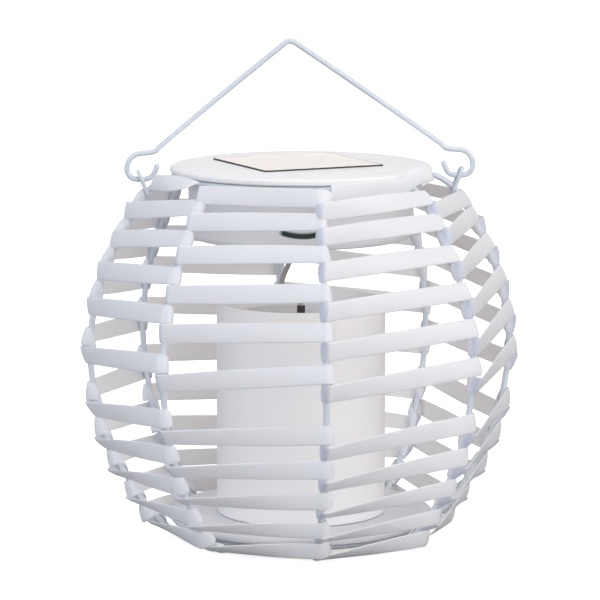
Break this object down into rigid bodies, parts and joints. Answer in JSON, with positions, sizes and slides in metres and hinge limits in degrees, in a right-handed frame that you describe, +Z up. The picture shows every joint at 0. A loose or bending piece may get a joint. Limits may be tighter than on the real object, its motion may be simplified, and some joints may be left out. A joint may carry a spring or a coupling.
{
  "type": "solar lantern",
  "caption": "Round garden lantern: flat strip wound on a bulging wire-rib cage, with a wire bail, a drop-in round solar lamp module and a candle-shaped lamp on a base plate.",
  "frame": {"origin": "centre of the foot of the cage, on the surface it stands on", "axes": "+Z up; the bail stands in the XZ plane with a hook on each side rib at +X and -X; -Y is the front rib"},
  "size_m": [0.209, 0.2088, 0.2355],
  "materials": {
    "coated_wire": "satin",
    "flat_strip": "satin, fine lengthwise grain",
    "lid_plastic": "satin moulded",
    "housing_plastic": "satin, slightly translucent",
    "opal_plastic": "matt opal",
    "solar_cell": "dark, glossy",
    "clear_cover": "clear, glossy",
    "board_green": "lacquered board",
    "battery_sleeve": "shrink sleeve",
    "plated_steel": "bright plated",
    "black_rubber": "matt",
    "lead_sheath": "satin sheath",
    "led_lens": "clear tinted epoxy"
  },
  "bodies": {
    "root": {"rib_b": "coated_wire", "rib_bl": "coated_wire", "rib_l": "coated_wire", "rib_fl": "coated_wire", "rib_f": "coated_wire", "rib_fr": "coated_wire", "rib_r": "coated_wire", "rib_br": "coated_wire", "top_ring": "coated_wire", "bottom_ring": "coated_wire", "eyelet_left": "coated_wire", "eyelet_right": "coated_wire", "strip_01": "flat_strip", "strip_02": "flat_strip", "strip_03": "flat_strip", "strip_04": "flat_strip", "strip_05": "flat_strip", "strip_06": "flat_strip", "strip_07": "flat_strip", "strip_08": "flat_strip", "strip_09": "flat_strip", "strip_10": "flat_strip", "strip_11": "flat_strip", "strip_top_left": "flat_strip", "strip_top_right": "flat_strip", "lamp_lead": "lead_sheath", "candle_tube": "opal_plastic", "candle_top": "opal_plastic", "lead_stub": "black_rubber", "led_board": "board_green", "led_lens": "led_lens", "base_plate": "lid_plastic"},
    "bail": {"bail_handle": "coated_wire"},
    "module": {"module_lid": "lid_plastic", "solar_cell": "solar_cell", "panel_cover": "clear_cover", "lamp_housing": "housing_plastic", "module_grommet": "black_rubber", "circuit_board": "board_green", "battery_door": "housing_plastic", "door_screw_1": "plated_steel", "door_screw_2": "plated_steel", "battery": "battery_sleeve", "contact_plus": "plated_steel", "contact_minus": "plated_steel", "contact_spring": "plated_steel", "switch_body": "black_rubber"},
    "switch": {"switch_slider": "black_rubber"}
  },
  "joints": [
    {"name": "bail_swing", "type": "hinge", "parent": "root", "child": "bail", "pos_m": [0, 0, 0.1703], "axis": [1, 0, 0], "range_deg": [-58, 58]},
    {"name": "module_turn", "type": "hinge", "parent": "root", "child": "module", "pos_m": [0, 0, 0.16], "axis": [0, 0, 1], "range_deg": [-90, 90]},
    {"name": "switch_slide", "type": "slide", "parent": "module", "child": "switch", "axis": [1, 0, 0], "range_m": [0, 0.0042]}
  ]
}
